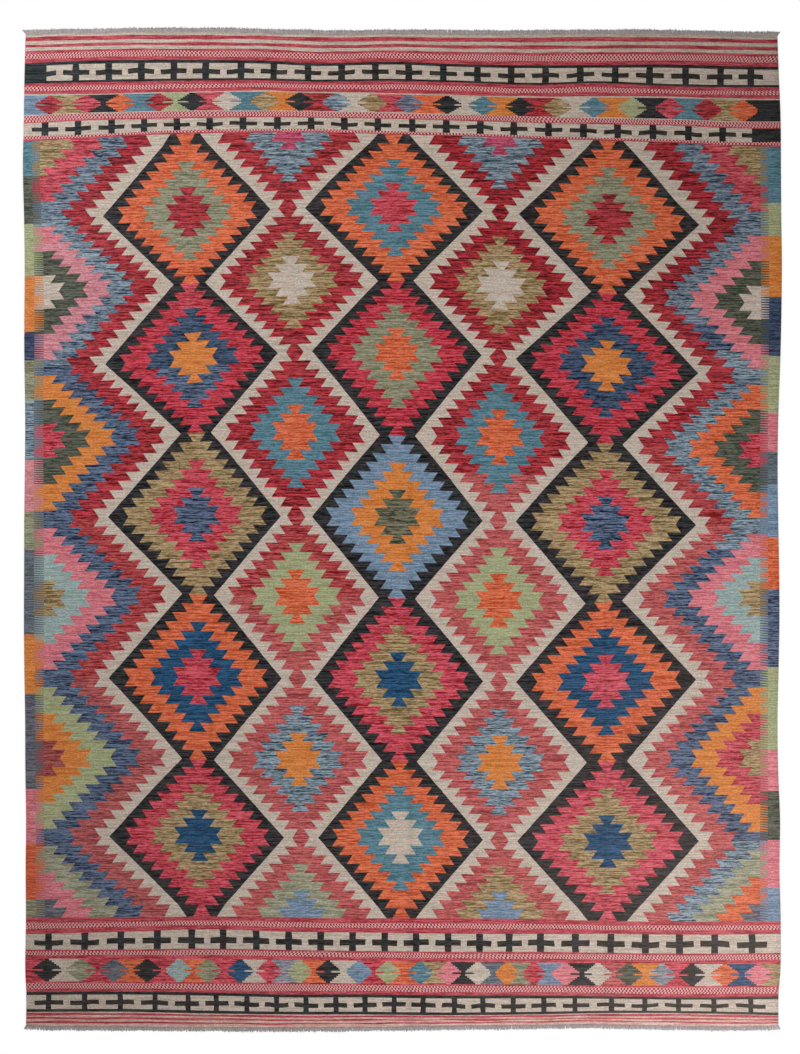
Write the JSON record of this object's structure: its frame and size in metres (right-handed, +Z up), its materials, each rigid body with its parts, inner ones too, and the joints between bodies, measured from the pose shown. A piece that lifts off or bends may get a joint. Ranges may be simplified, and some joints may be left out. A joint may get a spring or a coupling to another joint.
{
  "type": "kilim rug",
  "caption": "Large flat-woven rug lying flat, with wandering selvedges and a short ragged warp fringe along each end.",
  "frame": {"origin": "middle of the rug's outline, fringes included, on the floor plane under it", "axes": "+X across the rug, selvedge to selvedge; +Y along the rug, towards the end that is uppermost in the picture; +Z up, away from the floor"},
  "size_m": [3.0058, 3.9832, 0.003],
  "materials": {
    "kilim_wool": "matte hand-dyed wool in a weft-faced slit-tapestry weave, many colours",
    "undyed_warp": "matte undyed grey warp yarn"
  },
  "bodies": {
    "root": {"woven_cloth": "kilim_wool", "fringe_near": "undyed_warp", "fringe_far": "undyed_warp"}
  },
  "joints": []
}
